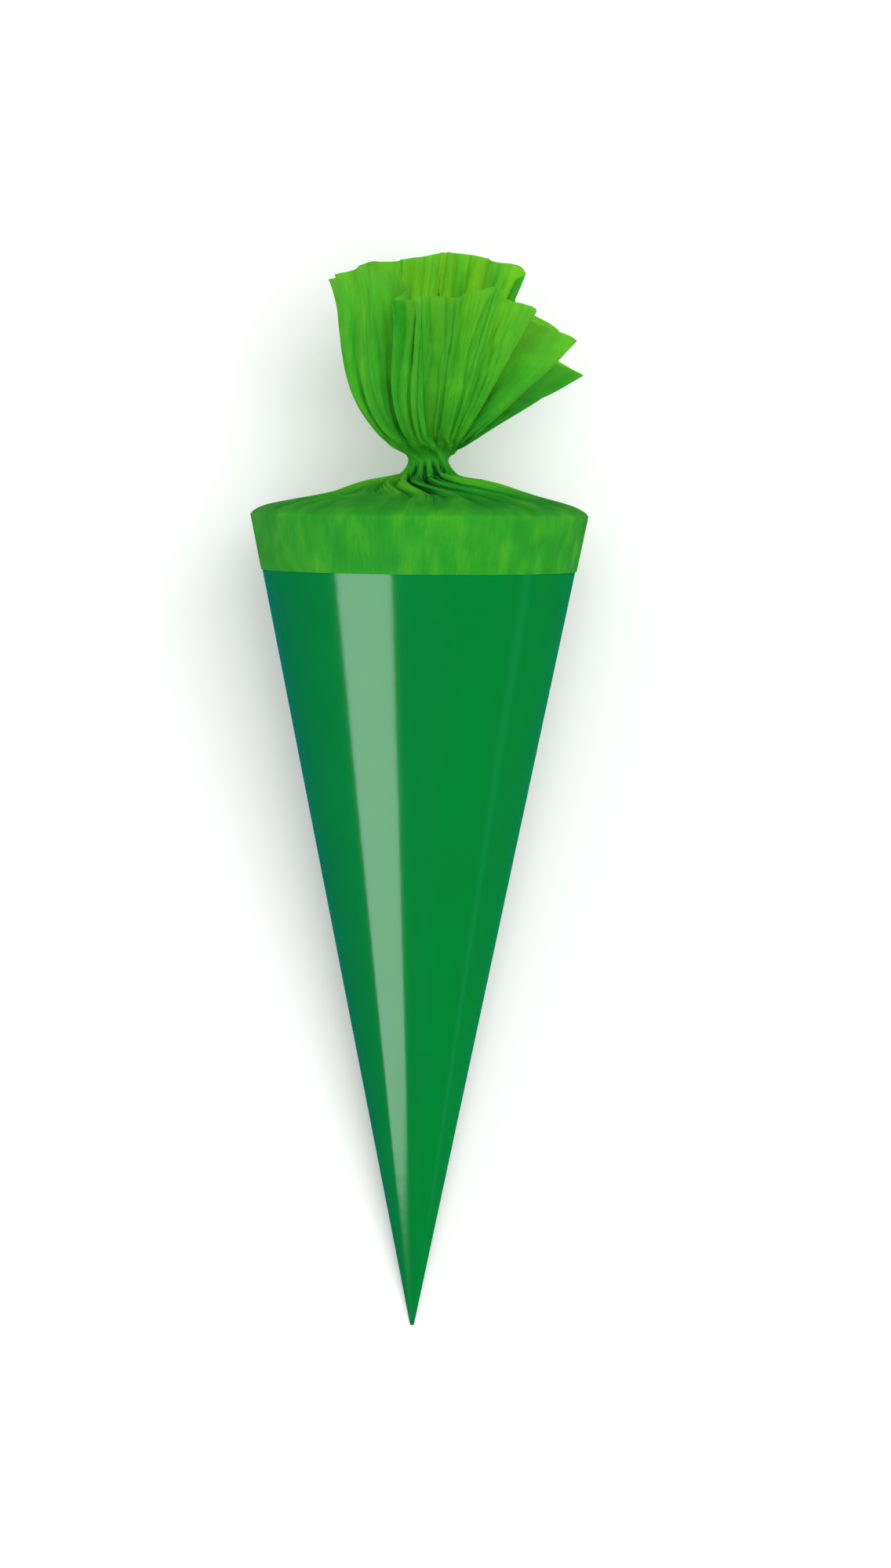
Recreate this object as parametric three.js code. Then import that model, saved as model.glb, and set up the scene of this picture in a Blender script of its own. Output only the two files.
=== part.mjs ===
// A small school cone: a rolled cone of glossy card, closed with a gathered and twisted crepe-paper sleeve.
// Millimetres. Each piece is shaped upright, with its tip at the origin: x to the right, y to the back and
// z along the axis. At the end the cone is laid on its back, on the flat of its glued lap.
import * as THREE from "three";

// Card cone
const CONE_LENGTH = 220; // tip to rim, along the axis
const RIM_RADIUS = 45;
const CARD_THICKNESS = 0.5;
const NOSE_RADIUS = 0.5; // the tip is rolled tight and left blunt
const NOSE_LENGTH = 1;
const SOLID_TIP = 5; // up to here the roll has no room inside
const LAP_WIDTH = 12; // glued overlap at the rim, a wedge that runs out at the tip
const CONE_COLUMNS = 70; // facets of the round part
const CONE_RINGS = 4; // straight stretches between the tip and the band
const CONE_SPACING = 1.5; // rings lie closer toward the tip
const BAND_CLEARANCE = 1; // the long facets end this far below the band

// Crepe sleeve
const CREPE_THICKNESS = 0.25;
const GLUE_GAP = 0.15; // between the card and the crepe
const BAND_HEIGHT = 14.7; // glued round the outside of the rim
const NECK_HEIGHT = 15; // above the rim
const NECK_RADIUS = 4.3;
const NECK_SHIFT = 2.45; // the twist sits a little to the right of the axis
const TWIST_BELOW = THREE.MathUtils.degToRad(50);
const TWIST_ABOVE = THREE.MathUtils.degToRad(28);
const TWIST_STARTS = 0.45; // share of the way in from the rim
const GATHERS = 24; // small pleats between the rim and the neck
const GATHER_DEPTH = 1.5;
const GATHERS_FULL = 0.6; // share of the way in from the rim where the pleats are deepest
const GATHERS_UNEVEN = 0.18; // some are this much shallower or deeper
const UNEVEN_WAVES = 5;
const GATHER_FULLNESS = 0.33; // deepest pleat, as a share of the width that it has left
const COLUMNS = 4 * GATHERS; // round the sleeve
const FAN_ROWS = 11;
const FAN_SPACING = 1.3; // rows lie closer toward the neck
const SHOULDER_ROWS = 11;
const SHOULDER_SPACING = 1.2; // rows lie closer toward the rim
const SHOULDER_INSIDE = 0.94; // share of the shoulder, from the rim, that has a clear underside
const NECK_FILL_BELOW = 3; // the twisted folds are one solid, down to this far below the neck
const NECK_FILL_ABOVE = 2.5;

// The shoulder's section, from the rim to the neck: shares of the way in and of the neck's height
const shoulderSection = [
  [0.026, 0.08],
  [0.1, 0.175],
  [0.245, 0.265],
  [0.47, 0.375],
  [0.64, 0.475],
  [0.8, 0.585],
  [0.92, 0.72],
];

// The mouth of the fan: the outer edge of each fold, counted round from the right by the back, in hundredths
// of the fan's height above the rim
const FAN_HEIGHT = 71;
// [right, back, height above the rim, depth of the valley after it]
const folds = [
  [61.8, 16.9, 53.8, 9.9],
  [52.8, 25.4, 69.7, 12.7],
  [38.6, 18.3, 94.1, 7],
  [23.9, 22.5, 98.3, 8.5],
  [8.2, 23.9, 100, 7],
  [-8.5, 22.5, 96.9, 8.5],
  [-22.3, 18.3, 95.2, 7],
  [-34.9, 7.8, 89.6, 2.8],
  [-32.5, -8.5, 90.6, 2.1],
  [-21.1, -21.1, 93.2, 13.4],
  [-11.5, -32.4, 79.7, 9.9],
  [0, -42.3, 81.1, 5.6],
  [13.7, -43.7, 80.6, 9.9],
  [28, -38, 84.8, 7],
  [42, -28.2, 78, 8.5],
  [58, -12.7, 66.5, 12],
];
const FAN_CORE = [11, -6]; // the valleys point to here, right and back in the same units
const FAN_SWELL = 9; // how far the left side bellies out, the right side staying straight
const SWELL_PEAK = 1 / 3; // share of the way up where it is widest
const FAN_FLOOR = 0.12; // share of the fan, from the neck, where its inside closes

const FULL_TURN = 2 * Math.PI;
const BACK = Math.PI / 2; // the lap is at the back

// Radius of the round card at a height above the tip
function coneRadius(z) {
  const slope = (RIM_RADIUS - NOSE_RADIUS) / (CONE_LENGTH - NOSE_LENGTH);
  return NOSE_RADIUS + slope * (z - NOSE_LENGTH);
}

// The lap stands half a card out of the round and half a card into it
function lapStep(radius) {
  return Math.min(CARD_THICKNESS, 0.3 * radius);
}

const halfLap = LAP_WIDTH / RIM_RADIUS / 2;
const footHeight = CONE_LENGTH - BAND_HEIGHT; // where the crepe band begins

// How far back the pressed flat of the lap lies, at a given radius
function lapFlat(radius) {
  return (radius + lapStep(radius) / 2) * Math.cos(halfLap);
}

// One ring of the spiral section: it starts at the flap's edge, or inside the flap's far edge
function cardRing(radius, z, inside) {
  const step = lapStep(radius);
  const ring = [];
  const roundPart = FULL_TURN - 2 * halfLap;
  for (let i = 0; i <= CONE_COLUMNS; i++) {
    const turned = i / CONE_COLUMNS;
    const angle = BACK + halfLap + roundPart * turned;
    const reach = radius + step * (0.5 - turned) - (inside ? CARD_THICKNESS : 0);
    ring.push(new THREE.Vector3(reach * Math.cos(angle), reach * Math.sin(angle), z));
  }
  const endAngle = inside ? BACK + halfLap : BACK - halfLap;
  const endReach = inside ? radius - step / 2 - CARD_THICKNESS : radius + step / 2;
  ring.push(new THREE.Vector3(endReach * Math.cos(endAngle), endReach * Math.sin(endAngle), z));
  return ring;
}

// Joins rings of equal count into a skin, where a ring of a single point closes it
function joinRings(rings, corners, flip) {
  const add = (a, b, c) => corners.push(...(flip ? [a, c, b] : [a, b, c]));
  for (let r = 0; r + 1 < rings.length; r++) {
    const low = rings[r];
    const high = rings[r + 1];
    const count = Math.max(low.length, high.length);
    for (let i = 0; i < count; i++) {
      const j = (i + 1) % count;
      if (low.length > 1) {
        add(low[i], low[j], high.length > 1 ? high[j] : high[0]);
      }
      if (high.length > 1) {
        add(low.length > 1 ? low[i] : low[0], high[j], high[i]);
      }
    }
  }
}

function makeCardCone() {
  const belowBand = footHeight - BAND_CLEARANCE;
  const nose = [1 / 3, 2 / 3].map((share) => (share * Math.PI) / 2);
  const heights = [];
  for (let i = 0; i <= CONE_RINGS; i++) {
    heights.push(THREE.MathUtils.lerp(SOLID_TIP, belowBand, (i / CONE_RINGS) ** CONE_SPACING));
  }
  heights.push(CONE_LENGTH);

  const outer = [[new THREE.Vector3(0, 0, 0)]];
  for (const bend of nose) {
    outer.push(cardRing(NOSE_RADIUS * Math.sin(bend), NOSE_LENGTH * (1 - Math.cos(bend)), false));
  }
  outer.push(cardRing(NOSE_RADIUS, NOSE_LENGTH, false));
  heights.forEach((z) => outer.push(cardRing(coneRadius(z), z, false)));
  const inner = [[new THREE.Vector3(0, 0, SOLID_TIP - CARD_THICKNESS)]];
  heights.forEach((z) => inner.push(cardRing(coneRadius(z), z, true)));

  const corners = [];
  joinRings(outer, corners, false);
  joinRings(inner, corners, true);
  const rimOuter = outer.at(-1);
  const rimInner = inner.at(-1);
  const rim = [...rimOuter, ...rimInner];
  const flat = (ring) => ring.map((p) => new THREE.Vector2(p.x, p.y));
  for (const [a, b, c] of THREE.ShapeUtils.triangulateShape(flat(rimOuter), [flat(rimInner)])) {
    corners.push(rim[a], rim[b], rim[c]);
  }
  return new THREE.BufferGeometry().setFromPoints(corners);
}

// The sleeve's outer face, where it is glued round the card
function bandRadius(z) {
  return coneRadius(z) + CARD_THICKNESS / 2 + GLUE_GAP + CREPE_THICKNESS;
}

function bandFlat(z) {
  return lapFlat(coneRadius(z)) + GLUE_GAP + CREPE_THICKNESS;
}

const rimBand = bandRadius(CONE_LENGTH);
const shoulder = new THREE.SplineCurve(
  [[0, 0], ...shoulderSection, [1, 1]].map(
    ([inwards, up]) => new THREE.Vector2(THREE.MathUtils.lerp(rimBand, NECK_RADIUS, inwards), NECK_HEIGHT * up),
  ),
);

// Share of the way in from the rim to the neck
function wayIn(radius) {
  return (rimBand - radius) / (rimBand - NECK_RADIUS);
}

function onRing(radius, angle, shift, z) {
  return new THREE.Vector3(shift + radius * Math.cos(angle), radius * Math.sin(angle), z);
}

function gatherDepth(radius) {
  const room = (FULL_TURN * radius) / GATHERS;
  const full = THREE.MathUtils.smoothstep(wayIn(radius), 0, GATHERS_FULL);
  return Math.min(GATHER_DEPTH * full, GATHER_FULLNESS * room);
}

function gatherWave(turn) {
  const uneven = 1 - GATHERS_UNEVEN + GATHERS_UNEVEN * Math.sin(UNEVEN_WAVES * FULL_TURN * turn + 1);
  return uneven * Math.cos(GATHERS * FULL_TURN * turn);
}

// The mouth as one closed curve that runs from fold to valley to fold
function makeMouth() {
  const unit = FAN_HEIGHT / 100;
  const core = new THREE.Vector2(...FAN_CORE);
  const points = folds.flatMap(([x, y, height, valley], i) => {
    const [nextX, nextY, nextHeight] = folds[(i + 1) % folds.length];
    const between = new THREE.Vector2((x + nextX) / 2, (y + nextY) / 2);
    between.add(core.clone().sub(between).setLength(valley));
    return [
      new THREE.Vector3(x * unit, y * unit, CONE_LENGTH + height * unit),
      new THREE.Vector3(between.x * unit, between.y * unit, CONE_LENGTH + ((height + nextHeight) / 2) * unit),
    ];
  });
  return new THREE.CatmullRomCurve3(points, true, "centripetal");
}

const mouth = makeMouth();

// The sleeve's outer face: turn goes round it once, and station runs 0 to 1 up the band, 1 to 2 over the
// shoulder to the neck, and 2 to 3 up the fan to its mouth
function sleeve(turn, station) {
  const angle = FULL_TURN * turn;
  if (station <= 1) {
    const z = THREE.MathUtils.lerp(footHeight, CONE_LENGTH, station);
    const point = onRing(bandRadius(z), angle + TWIST_BELOW + TWIST_ABOVE, 0, z);
    point.y = Math.min(point.y, bandFlat(z));
    return point;
  }
  if (station <= 2) {
    const { x: radius, y: height } = shoulder.getPointAt(station - 1);
    const slope = shoulder.getTangentAt(station - 1);
    const inwards = wayIn(radius);
    const lift = gatherDepth(radius) * gatherWave(turn);
    const twist = TWIST_ABOVE + TWIST_BELOW * (1 - THREE.MathUtils.smoothstep(inwards, TWIST_STARTS, 1));
    const shift = NECK_SHIFT * inwards;
    const z = CONE_LENGTH + height - lift * slope.x;
    const point = onRing(radius + lift * slope.y, angle + twist, shift, z);
    point.y = Math.min(point.y, bandFlat(CONE_LENGTH));
    return point;
  }
  const share = station - 2;
  const gather = gatherDepth(NECK_RADIUS) * gatherWave(turn);
  const root = onRing(NECK_RADIUS + gather, angle + TWIST_ABOVE, NECK_SHIFT, CONE_LENGTH + NECK_HEIGHT);
  const belly = (share * (1 - share) ** 2) / (SWELL_PEAK * (1 - SWELL_PEAK) ** 2); // 1 at the peak
  const swell = (FAN_SWELL / 2) * (1 - Math.cos(angle)) * belly;
  return root.lerp(mouth.getPoint(turn % 1), share).add(onRing(swell, angle, 0, 0));
}

// The same place on the sheet's other face
const turnStep = 1 / COLUMNS;
const stationStep = 0.01;

function sleeveInside(turn, station) {
  const low = THREE.MathUtils.clamp(station, stationStep, 3 - stationStep);
  const round = sleeve(turn + turnStep, station).sub(sleeve(turn - turnStep + 1, station));
  const up = sleeve(turn, low + stationStep).sub(sleeve(turn, low - stationStep));
  const outwards = round.cross(up).normalize();
  return sleeve(turn, station).addScaledVector(outwards, -CREPE_THICKNESS);
}

// One row of the sheet round the sleeve, on its outer or its inner face
function sleeveRow(face, station) {
  return Array.from({ length: COLUMNS }, (_, i) => face(i / COLUMNS, station));
}

function makeCrepeClosure() {
  const bandAndShoulder = [0];
  for (let i = 0; i < SHOULDER_ROWS; i++) {
    bandAndShoulder.push(1 + SHOULDER_INSIDE * (i / (SHOULDER_ROWS - 1)) ** SHOULDER_SPACING);
  }
  const fan = [];
  for (let i = 1; i <= FAN_ROWS; i++) {
    fan.push(2 + (i / FAN_ROWS) ** FAN_SPACING);
  }
  const neckFloor = [onRing(0, 0, NECK_SHIFT, CONE_LENGTH + NECK_HEIGHT - NECK_FILL_BELOW)];
  const fanFloor = [onRing(0, 0, NECK_SHIFT, CONE_LENGTH + NECK_HEIGHT + NECK_FILL_ABOVE)];
  const outside = [...bandAndShoulder, 2, ...fan].map((station) => sleeveRow(sleeve, station));
  const underneath = bandAndShoulder.map((station) => sleeveRow(sleeveInside, station));
  const insideFan = fan.filter((station) => station > 2 + FAN_FLOOR);
  const within = insideFan.map((station) => sleeveRow(sleeveInside, station));

  const corners = [];
  joinRings(outside, corners, false);
  joinRings([...underneath, neckFloor], corners, true);
  joinRings([fanFloor, ...within], corners, true);
  joinRings([underneath[0], outside[0]], corners, false);
  joinRings([outside.at(-1), within.at(-1)], corners, false);
  return new THREE.BufferGeometry().setFromPoints(corners);
}

const glossyCard = new THREE.MeshStandardMaterial({
  name: "glossy green card",
  color: 0x00833a,
  roughness: 0.12,
  metalness: 0,
});
const crepePaper = new THREE.MeshStandardMaterial({
  name: "light green crepe paper",
  color: 0x3ea22b,
  roughness: 0.9,
  metalness: 0,
  side: THREE.DoubleSide,
});

const cardCone = new THREE.Mesh(makeCardCone(), glossyCard);
cardCone.name = "card_cone";
const crepeClosure = new THREE.Mesh(makeCrepeClosure(), crepePaper);
crepeClosure.name = "crepe_closure";

// Laid down: the blunt tip and the foot of the band touch the table, under the lap
const lying = new THREE.Group();
lying.add(cardCone, crepeClosure);
const rise = Math.atan((bandFlat(footHeight) - NOSE_RADIUS) / (footHeight - NOSE_LENGTH));
lying.rotation.x = rise - Math.PI / 2;

const schoolCone = new THREE.Group();
schoolCone.add(lying);
schoolCone.updateMatrixWorld(true);
const extent = new THREE.Box3().setFromObject(schoolCone, true);
const middle = extent.getCenter(new THREE.Vector3());
lying.position.set(-middle.x, -middle.y, -extent.min.z);

export default schoolCone;
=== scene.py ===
import math

import bpy
import numpy as np
from mathutils import Matrix, Vector


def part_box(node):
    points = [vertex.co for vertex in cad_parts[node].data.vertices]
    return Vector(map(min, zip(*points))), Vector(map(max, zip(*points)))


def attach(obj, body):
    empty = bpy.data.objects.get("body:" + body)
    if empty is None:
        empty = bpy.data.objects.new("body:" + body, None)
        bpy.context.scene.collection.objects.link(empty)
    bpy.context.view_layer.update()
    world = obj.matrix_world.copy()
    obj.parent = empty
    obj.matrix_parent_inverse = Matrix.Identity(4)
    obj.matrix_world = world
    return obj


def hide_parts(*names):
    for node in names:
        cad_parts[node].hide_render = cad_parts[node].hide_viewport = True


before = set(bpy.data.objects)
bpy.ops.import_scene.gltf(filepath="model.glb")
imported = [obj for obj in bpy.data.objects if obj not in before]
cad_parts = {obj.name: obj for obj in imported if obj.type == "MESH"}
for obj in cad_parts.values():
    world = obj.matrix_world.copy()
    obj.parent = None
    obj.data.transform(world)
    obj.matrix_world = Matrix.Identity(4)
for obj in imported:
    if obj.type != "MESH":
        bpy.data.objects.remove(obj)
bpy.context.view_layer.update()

mm = 0.001


def srgb(text):  # a hex colour as the linear numbers that a shader takes
    parts = [int(text[i:i + 2], 16) / 255 for i in (0, 2, 4)]
    return tuple(c / 12.92 if c <= 0.04045 else ((c + 0.055) / 1.055) ** 2.4 for c in parts) + (1.0,)


def newMaterial(name):
    material = bpy.data.materials.new(name)
    material.use_nodes = True
    tree = material.node_tree
    tree.nodes.clear()
    return material, tree


def addNode(tree, kind, settings=None, inputs=None):
    node = tree.nodes.new("ShaderNode" + kind)
    for key, value in (settings or {}).items():
        setattr(node, key, value)
    for key, value in (inputs or {}).items():
        if isinstance(value, bpy.types.NodeSocket):
            tree.links.new(value, node.inputs[key])
        else:
            node.inputs[key].default_value = value
    return node


def setTones(ramp, tones):  # the outermost tones take the ramp's own two stops
    for stop, (position, color) in zip(ramp.elements, (tones[0], tones[-1])):
        stop.position = position
        stop.color = srgb(color)
    for position, color in tones[1:-1]:
        ramp.elements.new(position).color = srgb(color)


def selectOnly(obj):
    for other in bpy.context.selected_objects:
        other.select_set(False)
    obj.select_set(True)
    bpy.context.view_layer.objects.active = obj


def pick(obj, kind, test):  # in edit mode, selects what passes the test and nothing else
    bpy.ops.mesh.select_mode(type=kind)
    bpy.ops.mesh.select_all(action="DESELECT")
    bpy.ops.object.mode_set(mode="OBJECT")
    points = obj.data.vertices
    if kind == "VERT":
        for point in points:
            point.select = bool(test(point.co))
    elif kind == "EDGE":
        for edge in obj.data.edges:
            edge.select = bool(test(*(points[i].co for i in edge.vertices)))
    else:
        for face in obj.data.polygons:
            face.select = bool(test(face.center, face.normal))
    bpy.ops.object.mode_set(mode="EDIT")


# The cone and its sleeve are modelled upright, with the tip at the origin: x to the right, y to the back
# and z up the axis. At the end they are laid down on the table.
cone = {
    "length": 220 * mm,
    "rimRadius": 45 * mm,
    "card": 0.5 * mm,
    "noseRadius": 0.5 * mm,
    "noseLength": 1 * mm,
    "lapWidth": 12 * mm,
    "letDown": 0.3 * mm,         # the flap's edge is let down where it lies further than this from the middle
    "flapLeft": 0.001,           # share of the card that the let-down edge still stands proud
    "solidTip": 6 * mm,          # the inner wall ends this high
    "hollowEnd": 0.3 * mm,       # with this radius
    "merge": 0.005 * mm,
    "sameWay": 0.9999,           # a face points along a direction from this cosine on
    "facets": 240,
    "smoothUnder": math.radians(25),
    "greens": ((0.3, "00742c"), (0.7, "007a2f")),
    "blotchesPerMm": 0.035,
    "ripplesPerMm": 0.26,
    "rippleDepth": 0.4 * mm,
    "rippleStrength": 0.05,
    "roughness": 0.13,
    "ior": 1.5,
}

halfLap = cone["lapWidth"] / cone["rimRadius"] / 2    # as an angle


def coneRadius(z):
    slope = (cone["rimRadius"] - cone["noseRadius"]) / (cone["length"] - cone["noseLength"])
    return cone["noseRadius"] + slope * (z - cone["noseLength"])


def lapFlat(z):  # how far behind the axis the pressed lap lies
    return (coneRadius(z) + cone["card"] / 2) * math.cos(halfLap)


# Card faced with a glossy film: an even, clear shine, and a surface that is not quite flat
def laminatedCard():
    material, tree = newMaterial("gloss laminated card")
    place = addNode(tree, "TexCoord").outputs["Object"]
    blotch = addNode(tree, "TexNoise", inputs={
        "Vector": place, "Scale": cone["blotchesPerMm"] / mm, "Detail": 3.0})
    tone = addNode(tree, "ValToRGB", inputs={"Fac": blotch.outputs["Fac"]})
    setTones(tone.color_ramp, cone["greens"])
    ripple = addNode(tree, "TexNoise", inputs={
        "Vector": place, "Scale": cone["ripplesPerMm"] / mm, "Detail": 2.0})
    bump = addNode(tree, "Bump", inputs={
        "Height": ripple.outputs["Fac"], "Strength": cone["rippleStrength"], "Distance": cone["rippleDepth"]})
    surface = addNode(tree, "BsdfPrincipled", inputs={
        "Base Color": tone.outputs["Color"],
        "Roughness": cone["roughness"],
        "IOR": cone["ior"],
        "Normal": bump.outputs["Normal"],
    })
    addNode(tree, "OutputMaterial", inputs={"Surface": surface.outputs["BSDF"]})
    return material


def makeCone():
    print("cone: rolling the card")
    low, high, card = cone["noseLength"], cone["length"], cone["card"]
    bpy.ops.object.select_all(action="DESELECT")
    bpy.ops.mesh.primitive_cone_add(
        vertices=cone["facets"], radius1=cone["noseRadius"], radius2=cone["rimRadius"],
        depth=high, end_fill_type="NGON", location=(0, 0, high / 2))
    obj = bpy.context.object
    obj.name = obj.data.name = "cardCone"
    bpy.ops.object.transform_apply(location=True)
    bpy.ops.object.mode_set(mode="EDIT")

    # Press the back flat, a card's thickness under the flap
    print("cone: lap and flap")
    alongLap = Vector((0, lapFlat(high) - lapFlat(low), high - low)).normalized()
    outwards = Vector((0, alongLap.z, -alongLap.y))
    onFlat = Vector((0, lapFlat(high) - card, high))
    bpy.ops.mesh.select_all(action="SELECT")
    bpy.ops.mesh.bisect(plane_co=onFlat, plane_no=outwards, use_fill=True, clear_outer=True)

    # The flap: the flat strip raised by one card, its far edge let down again to run into the wall
    pick(obj, "FACE", lambda at, normal: normal.dot(outwards) > cone["sameWay"])
    bpy.ops.mesh.extrude_region_move(TRANSFORM_OT_translate={"value": outwards * card})
    pick(obj, "VERT", lambda at: (at - onFlat).dot(outwards) > card / 2 and at.x < -cone["letDown"])
    bpy.ops.transform.translate(value=-outwards * card * (1 - cone["flapLeft"]))

    # Open the mouth, and turn the rim in and down as the inner wall
    print("cone: inner wall")
    pick(obj, "FACE", lambda at, normal: normal.z > cone["sameWay"])
    bpy.ops.mesh.delete(type="ONLY_FACE")
    pick(obj, "EDGE", lambda a, b: min(a.z, b.z) > high - cone["merge"])
    inside = 1 - card / cone["rimRadius"]
    bpy.ops.mesh.extrude_region_move(TRANSFORM_OT_translate={"value": (0, 0, 0)})
    bpy.ops.transform.resize(value=(inside, inside, 1), center_override=(0, 0, 0))
    bpy.ops.mesh.extrude_region_move(TRANSFORM_OT_translate={"value": (0, 0, cone["solidTip"] - high)})
    narrowed = cone["hollowEnd"] / cone["rimRadius"]
    bpy.ops.transform.resize(value=(narrowed, narrowed, 1), center_override=(0, 0, 0))
    bpy.ops.mesh.edge_face_add()
    bpy.ops.mesh.select_all(action="SELECT")
    bpy.ops.mesh.remove_doubles(threshold=cone["merge"])
    bpy.ops.mesh.normals_make_consistent(inside=False)
    bpy.ops.object.mode_set(mode="OBJECT")

    selectOnly(obj)
    bpy.ops.object.shade_smooth_by_angle(angle=cone["smoothUnder"])
    layDown(obj)
    obj.data.materials.append(laminatedCard())
    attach(obj, "root")
    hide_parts("card_cone")


# Places along the sleeve: 0 at the rim, 1 at the neck, 2 at the mouth. Turns run from 0 to 1 round it.
crepe = {
    "sheet": 0.25 * mm,
    "glueGap": 0.15 * mm,
    "offCard": 0.1 * mm,         # the drawn sheet lies this close
    "stripWidth": 288 * mm,      # round the rim, before it was gathered
    "stripLength": 116 * mm,     # from the foot of the band to the mouth
    "bandHeight": 14.7 * mm,
    "neckHeight": 15 * mm,
    "neckRadius": 4.3 * mm,
    "neckShift": 2.45 * mm,
    "twistBelow": math.radians(50),
    "twistAbove": math.radians(28),
    "twistFrom": 0.45,           # share of the way in
    "fanHeight": 71 * mm,
    "fanCore": (11, -6),         # the valleys point to here, in hundredths of the fan's height
    "fanSwell": 8 * mm,
    "fanCrowding": 1.15,         # rows lie closer near the neck
    "columns": 720,
    "bandRows": 6,
    "shoulderRows": 44,
    "fanRows": 72,
    "curveSteps": 40,

    # The shoulder from the rim to the neck: shares of the way in and of the neck's height
    "shoulderSection": (
        (0.026, 0.08), (0.1, 0.175), (0.245, 0.265), (0.47, 0.375),
        (0.64, 0.475), (0.8, 0.585), (0.92, 0.72)),

    # The mouth of the fan, fold by fold, in hundredths of the fan's height: right, back, height above the
    # rim, depth of the valley after it
    "mouthFolds": (
        (61.8, 16.9, 53.8, 9.9),
        (52.8, 25.4, 69.7, 12.7),
        (38.6, 18.3, 94.1, 7),
        (23.9, 22.5, 98.3, 8.5),
        (8.2, 23.9, 100, 7),
        (-8.5, 22.5, 96.9, 8.5),
        (-22.3, 18.3, 95.2, 7),
        (-34.1, 7.8, 89.2, 2.8),
        (-32.5, -8.5, 90.0, 2.1),
        (-21.1, -21.1, 93.2, 13.4),
        (-11.5, -32.4, 79.7, 9.9),
        (0, -42.3, 81.1, 5.6),
        (13.7, -43.7, 80.6, 9.9),
        (28, -38, 84.8, 7),
        (42, -28.2, 78, 8.5),
        (58, -12.7, 66.5, 12),
    ),

    # Creases up the sheet, coarse to fine: how many, how deep at each place in mm, the most that their
    # width allows, and how unevenly they lie
    "creasePlaces": (0, 0.35, 0.7, 1, 1.3, 2),
    "creases": (
        {"count": 13, "depths": (0, 0.9, 2.4, 1.2, 1.3, 1.5), "fullness": 0.33,
         "wander": 0.55, "drift": 0.1, "patches": 4, "phase": 0.62},
        {"count": 27, "depths": (0, 0.3, 1.3, 1.0, 0.65, 0.8), "fullness": 0.38,
         "wander": 0.45, "drift": 0.1, "patches": 5, "phase": 0.13},
        {"count": 61, "depths": (0, 0.1, 0.35, 0.4, 0.22, 0.3), "fullness": 0.30,
         "wander": 1.1, "drift": 0.5, "patches": 7, "phase": 0.41},
        {"count": 124, "depths": (0.05, 0.07, 0.12, 0.12, 0.12, 0.16), "fullness": 0.28,
         "wander": 1.6, "drift": 0.9, "patches": 11, "phase": 0.77},
    ),
    "crestPower": 0.65,          # under 1: round crests and sharp valleys
    "wanderWaves": (3, 7),       # round the sleeve
    "secondWander": 0.6,
    "driftRun": 11 * mm,
    "driftSpread": 9,
    "patchRun": 17 * mm,
    "patchiness": 0.4,
    "slant": 0.3,                # turn by which the creases slant through the neck
    "slantReach": 8 * mm,

    # The deepest folds: turn where they lie, half width in turns, depth in mm, which also sets the painted
    # shade in and beside them
    "fanFolds": (
        (0.594, 0.012, 2.2), (0.655, 0.005, 0.8), (0.742, 0.006, 0.8), (0.835, 0.005, 0.9),
        (0.905, 0.008, 1.3), (0.966, 0.014, 2.3), (0.984, 0.006, 0.9)),
    "fanFoldsStart": (0.02, 0.22),
    "fanFoldsFade": 0.45,
    "shoulderFolds": ((0.575, 0.010, 1.2), (0.645, 0.009, 1.7), (0.71, 0.010, 1.9), (0.775, 0.012, 1.5)),
    "shoulderFoldsStart": (0.22, 0.68),
    "shoulderFoldsEnd": (0.93, 1.02),

    "neckBlend": 3.5 * mm,       # reach of the rounding where the shoulder turns into the fan
    "neckRounds": 14,
    "neckPull": 0.5,

    # The innermost folds, which close the neck under the fan
    "coreAbove": 4 * mm,
    "coreRows": 9,
    "coreFit": 0.985,
    "coreEnd": 0.02,
    "coreSwirl": 1.4,
    "coreDrop": 2.5 * mm,
    "coreFold": 1.2 * mm,
    "coreStep": 0.8 * mm,
    "coreShade": 0.4,            # painted shade: how much darker they are drawn, as they lie in shade under the fan

    # The finish, with the painted shade in the creases and the painted highlight on their crests
    "creaseShadePlaces": (0.5, 0.85, 1.05, 1.3),
    "creaseShadeLevels": (1, 1.4, 0.6, 0.5),
    "creaseShadeTone": 0.21,
    "shadeInFold": 1.1,
    "shadeBesideFold": 0.8,
    "shadeBesideReach": 2.4,          # reach of the painted shade beside a fold, in times the fold's own half width
    "crimpsPerMm": (1.1, 0.12),
    "crimpTone": 0.25,
    "crimpDepth": 0.4 * mm,
    "crimpStrength": 0.6,
    "cloudsPerMm": (0.15, 0.10),
    "cloudTone": 0.7,
    "greens": ((0.0, "085c20"), (0.22, "1a9229"), (0.46, "2fad29"), (0.7, "58c428")),
    "greenThrough": "a4e024",
    "lightThrough": 0.35,
    "roughness": 0.85,
    "ior": 1.35,
}

bandOff = cone["card"] / 2 + crepe["offCard"]
foot = cone["length"] - crepe["bandHeight"]
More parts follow.
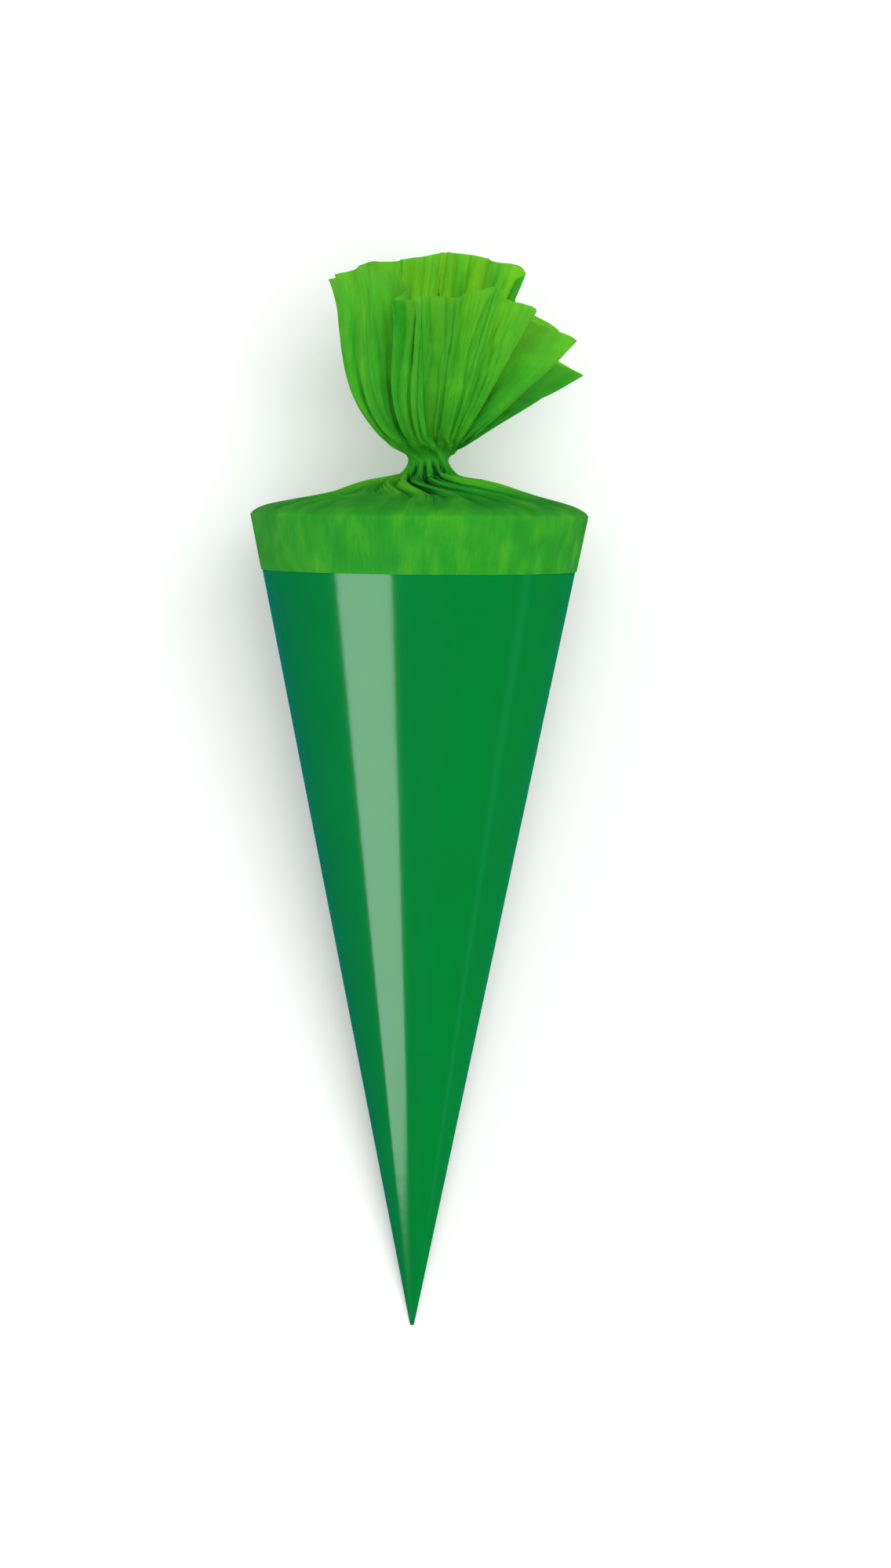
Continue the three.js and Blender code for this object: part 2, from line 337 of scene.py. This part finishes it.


# Crepe paper: thin, matt and crimped along the cone, and light comes through a single layer, with painted
# shade in its creases and a painted highlight on their crests
def crepePaper():
    material, tree = newMaterial("dyed crepe paper")
    toMm = crepe["stripWidth"] / mm
    strip = addNode(tree, "UVMap", {"uv_map": "strip"}).outputs["UV"]
    onStrip = addNode(tree, "Mapping", inputs={"Vector": strip, "Scale": (toMm, toMm, 1.0)}).outputs["Vector"]
    crimpPlace = addNode(tree, "Mapping", inputs={
        "Vector": onStrip, "Scale": (*crepe["crimpsPerMm"], 1.0)}).outputs["Vector"]
    crimp = addNode(tree, "TexNoise", inputs={
        "Vector": crimpPlace, "Scale": 1.0, "Detail": 3.0, "Roughness": 0.6}).outputs["Fac"]
    cloudPlace = addNode(tree, "Mapping", inputs={
        "Vector": onStrip, "Scale": (*crepe["cloudsPerMm"], 1.0)}).outputs["Vector"]
    cloud = addNode(tree, "TexNoise", inputs={
        "Vector": cloudPlace, "Scale": 1.0, "Detail": 4.0}).outputs["Fac"]
    fleck = addNode(tree, "Math", {"operation": "MULTIPLY"}, {0: crimp, 1: crepe["crimpTone"]}).outputs[0]
    mixed = addNode(tree, "Math", {"operation": "MULTIPLY_ADD"}, {
        0: cloud, 1: crepe["cloudTone"], 2: fleck}).outputs[0]
    # Painted shade in the valleys and a painted highlight on the crests, from how far each point is raised
    creaseShade = addNode(tree, "Attribute", {"attribute_name": "creaseShade"}).outputs["Fac"]
    mottleAndShade = addNode(tree, "Math", {"operation": "MULTIPLY_ADD"}, {
        0: creaseShade, 1: crepe["creaseShadeTone"], 2: mixed}).outputs[0]
    tone = addNode(tree, "ValToRGB", inputs={"Fac": mottleAndShade})
    setTones(tone.color_ramp, crepe["greens"])
    bump = addNode(tree, "Bump", inputs={
        "Height": crimp, "Strength": crepe["crimpStrength"], "Distance": crepe["crimpDepth"]})
    front = addNode(tree, "BsdfPrincipled", inputs={
        "Base Color": tone.outputs["Color"],
        "Roughness": crepe["roughness"],
        "IOR": crepe["ior"],
        "Normal": bump.outputs["Normal"],
    })
    through = addNode(tree, "BsdfTranslucent", inputs={
        "Color": srgb(crepe["greenThrough"]), "Normal": bump.outputs["Normal"]})
    mix = addNode(tree, "MixShader", inputs={
        0: crepe["lightThrough"], 1: front.outputs["BSDF"], 2: through.outputs["BSDF"]})
    addNode(tree, "OutputMaterial", inputs={"Surface": mix.outputs["Shader"]})
    return material


def smooth(value, low, high):
    t = np.clip((value - low) / (high - low), 0, 1)
    return t * t * (3 - 2 * t)


# The mouth's curve at each turn, from fold to valley to fold, as a centripetal spline
def roundMouth(turn):
    points = []
    core = np.array(crepe["fanCore"])
    folds = crepe["mouthFolds"]
    for i, (x, y, z, valley) in enumerate(folds):
        here = np.array((x, y, z))
        after = np.array(folds[(i + 1) % len(folds)][:3])
        between = (here + after) / 2
        inwards = core - between[:2]
        between[:2] += inwards / np.linalg.norm(inwards) * valley
        points += [here, between]
    points = np.array(points) * crepe["fanHeight"] / 100 + (0, 0, cone["length"])
    count = len(points)
    step = (turn % 1) * count
    i = np.floor(step).astype(int)
    t = (step - i)[:, None]
    p0, p1, p2, p3 = (points[(i + k) % count] for k in (-1, 0, 1, 2))
    d0, d1, d2 = (np.linalg.norm(b - a, axis=1)[:, None] ** 0.5 for a, b in ((p0, p1), (p1, p2), (p2, p3)))
    m1 = ((p1 - p0) / d0 - (p2 - p0) / (d0 + d1) + (p2 - p1) / d1) * d1
    m2 = ((p2 - p1) / d1 - (p3 - p1) / (d1 + d2) + (p3 - p2) / d2) * d1
    return p1 + m1 * t + (3 * (p2 - p1) - 2 * m1 - m2) * t ** 2 + (2 * (p1 - p2) + m1 + m2) * t ** 3


# The shoulder's section as a smooth curve, with the length run along it at each of its points
def shoulderCurve():
    rim = cone["rimRadius"] + bandOff
    shares = np.array([(0, 0), *crepe["shoulderSection"], (1, 1)])
    radii = rim + (crepe["neckRadius"] - rim) * shares[:, 0]
    knots = np.stack([radii, crepe["neckHeight"] * shares[:, 1]], axis=1)
    ends = np.vstack([2 * knots[0] - knots[1], knots, 2 * knots[-1] - knots[-2]])
    curve = []
    for k in range(len(knots) - 1):
        p0, p1, p2, p3 = ends[k:k + 4]
        for t in np.linspace(0, 1, crepe["curveSteps"], endpoint=False):
            curve.append(0.5 * (2 * p1 + (p2 - p0) * t + (2 * p0 - 5 * p1 + 4 * p2 - p3) * t ** 2
                                + (3 * p1 - p0 - 3 * p2 + p3) * t ** 3))
    curve = np.array([*curve, knots[-1]])
    run = np.append(0, np.cumsum(np.linalg.norm(np.diff(curve, axis=0), axis=1)))
    return curve[:, 0], curve[:, 1], run


# Crests with valleys between them, unevenly spaced, as high over the mean as deep under it
def ridges(turn, count, wander, phase):
    slow, quick = crepe["wanderWaves"]
    shift = np.sin(2 * math.pi * (slow * turn + phase))
    shift = shift + crepe["secondWander"] * np.sin(2 * math.pi * (quick * turn + 2 * phase))
    crest = np.abs(np.sin(math.pi * (count * turn + wander * shift))) ** crepe["crestPower"]
    return 2 * (crest - crest.mean(axis=-1, keepdims=True))


def normalsOf(grid):  # the outward normals of a grid whose rows close round
    around = np.roll(grid, -1, axis=1) - np.roll(grid, 1, axis=1)
    up = np.gradient(grid, axis=0)
    normal = np.cross(around, up)
    return normal / np.linalg.norm(normal, axis=2, keepdims=True)


def ring(angle, radius, shift, z, flat):  # one row of the sleeve, pressed flat at the back
    x = shift + radius * np.cos(angle)
    y = np.minimum(radius * np.sin(angle), flat)
    return np.stack([x, y, np.full_like(x, z)], axis=1)


def makeCrepe():
    print("crepe: gathering the sleeve")
    turn = np.arange(crepe["columns"]) / crepe["columns"]
    angle = 2 * math.pi * turn
    rows, runs = [], []
    fullTwist = crepe["twistBelow"] + crepe["twistAbove"]

    for share in np.linspace(0, 1, crepe["bandRows"], endpoint=False):
        z = foot + share * crepe["bandHeight"]
        rows.append(ring(angle + fullTwist, coneRadius(z) + bandOff, 0, z, lapFlat(z) + crepe["offCard"]))
        runs.append(share * crepe["bandHeight"])

    radii, heights, along = shoulderCurve()
    shoulderLength = along[-1]
    rimFlat = lapFlat(cone["length"]) + crepe["offCard"]
    for share in np.linspace(0, 1, crepe["shoulderRows"], endpoint=False):
        radius = np.interp(share * shoulderLength, along, radii)
        height = np.interp(share * shoulderLength, along, heights)
        inwards = (radii[0] - radius) / (radii[0] - crepe["neckRadius"])
        twist = crepe["twistAbove"] + crepe["twistBelow"] * (1 - smooth(inwards, crepe["twistFrom"], 1))
        shift = crepe["neckShift"] * inwards
        rows.append(ring(angle + twist, radius, shift, cone["length"] + height, rimFlat))
        runs.append(crepe["bandHeight"] + share * shoulderLength)

    neck = ring(angle + crepe["twistAbove"], crepe["neckRadius"], crepe["neckShift"],
                cone["length"] + crepe["neckHeight"], rimFlat)
    mouth = roundMouth(turn)
    swell = crepe["fanSwell"] / 2 * (1 - np.cos(angle))    # all of it at the left, none at the right
    outwards = np.stack([np.cos(angle), np.sin(angle), np.zeros_like(angle)], axis=1)
    fanLength = crepe["stripLength"] - crepe["bandHeight"] - shoulderLength
    for share in np.linspace(0, 1, crepe["fanRows"]) ** crepe["fanCrowding"]:
        belly = 27 / 4 * share * (1 - share) ** 2    # its highest, 1, is a third of the way up
        rows.append(neck * (1 - share) + mouth * share + outwards * (swell * belly)[:, None])
        runs.append(crepe["bandHeight"] + shoulderLength + share * fanLength)

    run = np.array(runs)
    print("crepe: creasing it")
    grid, shadeLift = creased(np.array(rows), turn, run, shoulderLength)
    print("crepe: closing the neck")
    start = int(np.searchsorted(run, crepe["bandHeight"] + shoulderLength + crepe["coreAbove"]))
    core, coreShadeLift = neckCore(grid[start], shadeLift[start])
    coreRun = run[start] + crepe["coreStep"] * np.arange(crepe["coreRows"])
    finishCrepe([(grid, shadeLift, run), (core, coreShadeLift, coreRun)])


# Gathers on the shoulder, slanting through the twisted neck, and creases up the fan. With the grid comes how
# far each point is raised, which sets a painted shade in the valleys and a painted highlight on the crests.
def creased(grid, turn, run, shoulderLength):
    neckRun = crepe["bandHeight"] + shoulderLength
    below = (run - crepe["bandHeight"]) / shoulderLength
    above = (run - neckRun) / (crepe["stripLength"] - neckRun)
    place = np.clip(below, 0, 1) + np.clip(above, 0, 1)
    slant = crepe["slant"] * smooth(run, neckRun - crepe["slantReach"], neckRun + crepe["slantReach"])
    shadeLift = np.zeros(grid.shape[:2])
    for crease in crepe["creases"]:
        girth = np.linalg.norm(np.roll(grid, -1, axis=1) - grid, axis=2).sum(axis=1)
        room = crease["fullness"] * girth / crease["count"]
        deep = np.minimum(np.interp(place, crepe["creasePlaces"], crease["depths"]) * mm, room)
        drifting = np.sin(run / crepe["driftRun"] + crease["phase"] * crepe["driftSpread"])
        moved = turn[None, :] + (crease["drift"] * drifting / crease["count"] + slant)[:, None]
        wave = ridges(moved, crease["count"], crease["wander"], crease["phase"])
        patch = np.sin(2 * math.pi * (crease["patches"] * turn[None, :] + crease["phase"])
                       + run[:, None] / crepe["patchRun"])
        raised = deep[:, None] * wave * (1 - crepe["patchiness"] + crepe["patchiness"] * patch)
        grid = grid + normalsOf(grid) * raised[:, :, None]
        shadeLift += raised

    upFan = np.clip(smooth(above, *crepe["fanFoldsStart"]) * (1 - crepe["fanFoldsFade"] * above), 0, 1)
    upShoulder = smooth(below, *crepe["shoulderFoldsStart"]) * (1 - smooth(below, *crepe["shoulderFoldsEnd"]))
    for folds, along in ((crepe["fanFolds"], upFan), (crepe["shoulderFolds"], upShoulder)):
        for at, width, depth in folds:
            aside = ((turn - at + 0.5) % 1 - 0.5) / width
            sunk = depth * mm * along[:, None] * np.exp(-aside ** 2)[None, :]
            besideShade = depth * mm * along[:, None] * np.exp(-(aside / crepe["shadeBesideReach"]) ** 2)[None, :]
            grid = grid - normalsOf(grid) * sunk[:, :, None]
            # painted shade in each fold, and spread wider beside it
            shadeLift -= crepe["shadeInFold"] * sunk + crepe["shadeBesideFold"] * besideShade

    nearNeck = np.exp(-((run - neckRun) / crepe["neckBlend"]) ** 2)[1:-1, None, None]
    for _ in range(crepe["neckRounds"]):
        grid[1:-1] += crepe["neckPull"] * nearNeck * ((grid[:-2] + grid[2:]) / 2 - grid[1:-1])
    # the painted shade is strongest on the shoulder near the neck and weaker up the fan
    return grid, shadeLift / mm * np.interp(place, crepe["creaseShadePlaces"], crepe["creaseShadeLevels"])[:, None]


def neckCore(edge, shadeLift):  # winds inwards from a row of the fan to a point under its middle
    middle = edge.mean(axis=0)
    rows = []
    for share in np.linspace(0, 1, crepe["coreRows"]):
        swirl = crepe["coreSwirl"] * share
        arm = (edge - middle) * (crepe["coreFit"] - (crepe["coreFit"] - crepe["coreEnd"]) * share)
        x = arm[:, 0] * math.cos(swirl) - arm[:, 1] * math.sin(swirl)
        y = arm[:, 0] * math.sin(swirl) + arm[:, 1] * math.cos(swirl)
        z = arm[:, 2] - crepe["coreDrop"] * math.sin(share * math.pi / 2)
        z = z + crepe["coreFold"] * shadeLift * share * (1 - share)
        rows.append(middle + np.stack([x, y, z], axis=1))
    # the core rows get a painted shade on top of the crease shade
    return np.array(rows), np.repeat(shadeLift[None, :] - crepe["coreShade"], crepe["coreRows"], axis=0)


# One mesh from grids that close round, with the place on the flat strip as its UVs
def finishCrepe(grids):
    print("crepe: mesh and finish")
    points, faces, corners, folds = [], [], [], []
    for grid, shadeLift, run in grids:
        rowCount, columnCount = grid.shape[:2]
        base = len(points)
        points += grid.reshape(-1, 3).tolist()
        folds += shadeLift.reshape(-1).tolist()
        for r in range(rowCount - 1):
            low, high = run[r] / crepe["stripWidth"], run[r + 1] / crepe["stripWidth"]
            row, above = base + r * columnCount, base + (r + 1) * columnCount
            for c in range(columnCount):
                d = (c + 1) % columnCount
                left, right = c / columnCount, (c + 1) / columnCount
                faces.append((row + c, row + d, above + d, above + c))
                corners += [left, low, right, low, right, high, left, high]
    mesh = bpy.data.meshes.new("crepeClosure")
    mesh.from_pydata(points, [], faces)
    mesh.uv_layers.new(name="strip").data.foreach_set("uv", corners)
    # the painted crease shade and crest highlight, per point
    mesh.attributes.new("creaseShade", "FLOAT", "POINT").data.foreach_set("value", folds)
    mesh.update()
    obj = bpy.data.objects.new("crepeClosure", mesh)
    bpy.context.scene.collection.objects.link(obj)

    selectOnly(obj)
    bpy.ops.object.shade_smooth()
    layDown(obj)
    obj.data.materials.append(crepePaper())
    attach(obj, "root")
    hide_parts("crepe_closure")


# It lies on its lap, with the tip and the foot of the band on the table
footFlat = lapFlat(foot) + crepe["glueGap"] + crepe["sheet"]
rise = math.atan((footFlat - cone["noseRadius"]) / (foot - cone["noseLength"]))
laid = Matrix.Rotation(rise - math.pi / 2, 4, "X")
tipLift = -(laid @ Vector((0, footFlat, foot))).z
laid = Matrix.Translation((0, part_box("card_cone")[0].y, tipLift)) @ laid


def layDown(obj):  # the selected piece, which keeps its place in its mesh
    obj.matrix_world = laid
    bpy.ops.object.transform_apply(location=True, rotation=True, scale=True)


floor = {
    "size": 60.0,
    "white": "fafafa",
    "roughness": 0.9,
}


# A table top painted matt white: pale, with no shine of its own
def whiteTableTop():
    material, tree = newMaterial("matt white table top")
    surface = addNode(tree, "BsdfPrincipled", inputs={
        "Base Color": srgb(floor["white"]), "Roughness": floor["roughness"]})
    addNode(tree, "OutputMaterial", inputs={"Surface": surface.outputs["BSDF"]})
    return material


def makeFloor():
    print("stage: floor")
    bpy.ops.object.select_all(action="DESELECT")
    bpy.ops.mesh.primitive_plane_add(size=floor["size"], location=(0, 0, 0))
    obj = bpy.context.object
    obj.name = "floor"
    obj.data.materials.append(whiteTableTop())
    obj.visible_glossy = False


# Lamps round the cone: degrees to the right of the viewer, how far up the axis from the tip, how far out
# from it, size across and along, and degrees of roll. Some only shine in the gloss, the others only light.
lamps = {
    "softboxLeft": {"side": -42, "along": -125 * mm, "out": 0.6, "size": (0.50, 0.34), "roll": -2,
                    "level": 5.2, "color": (0.85, 1.0, 0.93), "onlyShines": True},
    "stripRight": {"side": 88, "along": -160 * mm, "out": 0.8, "size": (0.13, 0.5), "roll": 0,
                   "level": 0.45, "color": (0.1, 1.0, 0.7), "onlyShines": True},
    "fillLow": {"side": 8, "along": -700 * mm, "out": 1.3, "size": (0.9, 0.9), "roll": 0,
                "level": 0.8, "color": (1.0, 1.0, 1.0), "onlyShines": False},
    "fillLeft": {"side": -62, "along": 350 * mm, "out": 1.2, "size": (0.9, 0.9), "roll": 0,
                 "level": 1.2, "color": (1.0, 1.0, 1.0), "onlyShines": False},
    "fillRight": {"side": 72, "along": 250 * mm, "out": 1.2, "size": (0.9, 0.9), "roll": 0,
                  "level": 0.7, "color": (1.0, 1.0, 1.0), "onlyShines": False},
    "broadTop": {"side": 12, "along": 480 * mm, "out": 1.3, "size": (1.3, 1.3), "roll": 0,
                 "level": 2.6, "color": (1.0, 1.0, 1.0), "onlyShines": False},
}
lampsAim = 110 * mm    # up the axis


def placeLamps():
    print("stage: lamps")
    for name, lamp in lamps.items():
        light = bpy.data.lights.new(name, "AREA")
        light.shape = "RECTANGLE"
        light.size, light.size_y = lamp["size"]
        light.energy = lamp["level"] * math.pi * light.size * light.size_y
        light.color = lamp["color"]
        obj = bpy.data.objects.new(name, light)
        bpy.context.scene.collection.objects.link(obj)
        side = math.radians(lamp["side"])
        place = Vector((lamp["out"] * math.sin(side), -lamp["out"] * math.cos(side), lamp["along"]))
        facing = (place - Vector((0, 0, lampsAim))).to_track_quat("Z", "Y").to_matrix().to_4x4()
        rolled = Matrix.Rotation(math.radians(lamp["roll"]), 4, "Z")
        obj.matrix_world = laid @ Matrix.Translation(place) @ facing @ rolled
        obj.visible_glossy = lamp["onlyShines"]
        obj.visible_diffuse = not lamp["onlyShines"]
        obj.visible_transmission = not lamp["onlyShines"]


room = {
    "pale": (0.5, 0.5, 0.5, 1.0),
    "wallLeft": (0.01, 0.06, 0.26, 1.0),
    "wallRight": (0.01, 0.30, 0.10, 1.0),
    "wallsBlend": 0.8,
}


def paintRoom():
    print("stage: room")
    world = bpy.data.worlds.new("room")
    bpy.context.scene.world = world
    world.use_nodes = True
    tree = world.node_tree
    direction = addNode(tree, "TexCoord").outputs["Generated"]
    sideways = addNode(tree, "SeparateXYZ", inputs={"Vector": direction}).outputs["X"]
    across = addNode(tree, "MapRange", inputs={
        "Value": sideways, "From Min": -room["wallsBlend"], "From Max": room["wallsBlend"]})
    walls = addNode(tree, "MixRGB", inputs={
        "Fac": across.outputs["Result"], "Color1": room["wallLeft"], "Color2": room["wallRight"]})
    # Only the gloss mirrors the tinted walls, and the room is pale to all else
    mirrored = addNode(tree, "LightPath").outputs["Is Glossy Ray"]
    shown = addNode(tree, "MixRGB", inputs={
        "Fac": mirrored, "Color1": room["pale"], "Color2": walls.outputs["Color"]})
    tree.links.new(shown.outputs["Color"], tree.nodes["Background"].inputs["Color"])


# Where the camera stands before the cone, and how it is turned
view = {
    "distance": 1.2,
    "right": 7.7 * mm,
    "along": 239 * mm,
    "down": math.radians(4.35),
    "lean": math.radians(0.55),
    "focalPixels": 5690,
    "framePixels": 2000,
    "sensor": 36,
    "clipEnd": 100,
}


def placeCamera():
    print("stage: camera")
    camera = bpy.data.cameras.new("camera")
    camera.sensor_fit = "AUTO"
    camera.sensor_width = view["sensor"]
    camera.lens = view["sensor"] * view["focalPixels"] / view["framePixels"]
    camera.clip_end = view["clipEnd"]
    obj = bpy.data.objects.new("camera", camera)
    bpy.context.scene.collection.objects.link(obj)
    place = Matrix.Translation((view["right"], -view["distance"], view["along"]))
    aim = Matrix.Rotation(math.pi / 2 - view["down"], 4, "X") @ Matrix.Rotation(view["lean"], 4, "Z")
    obj.matrix_world = laid @ place @ aim
    bpy.context.scene.camera = obj
    bpy.context.scene.view_settings.view_transform = "Standard"


makeCone()
makeCrepe()
makeFloor()
placeLamps()
paintRoom()
placeCamera()
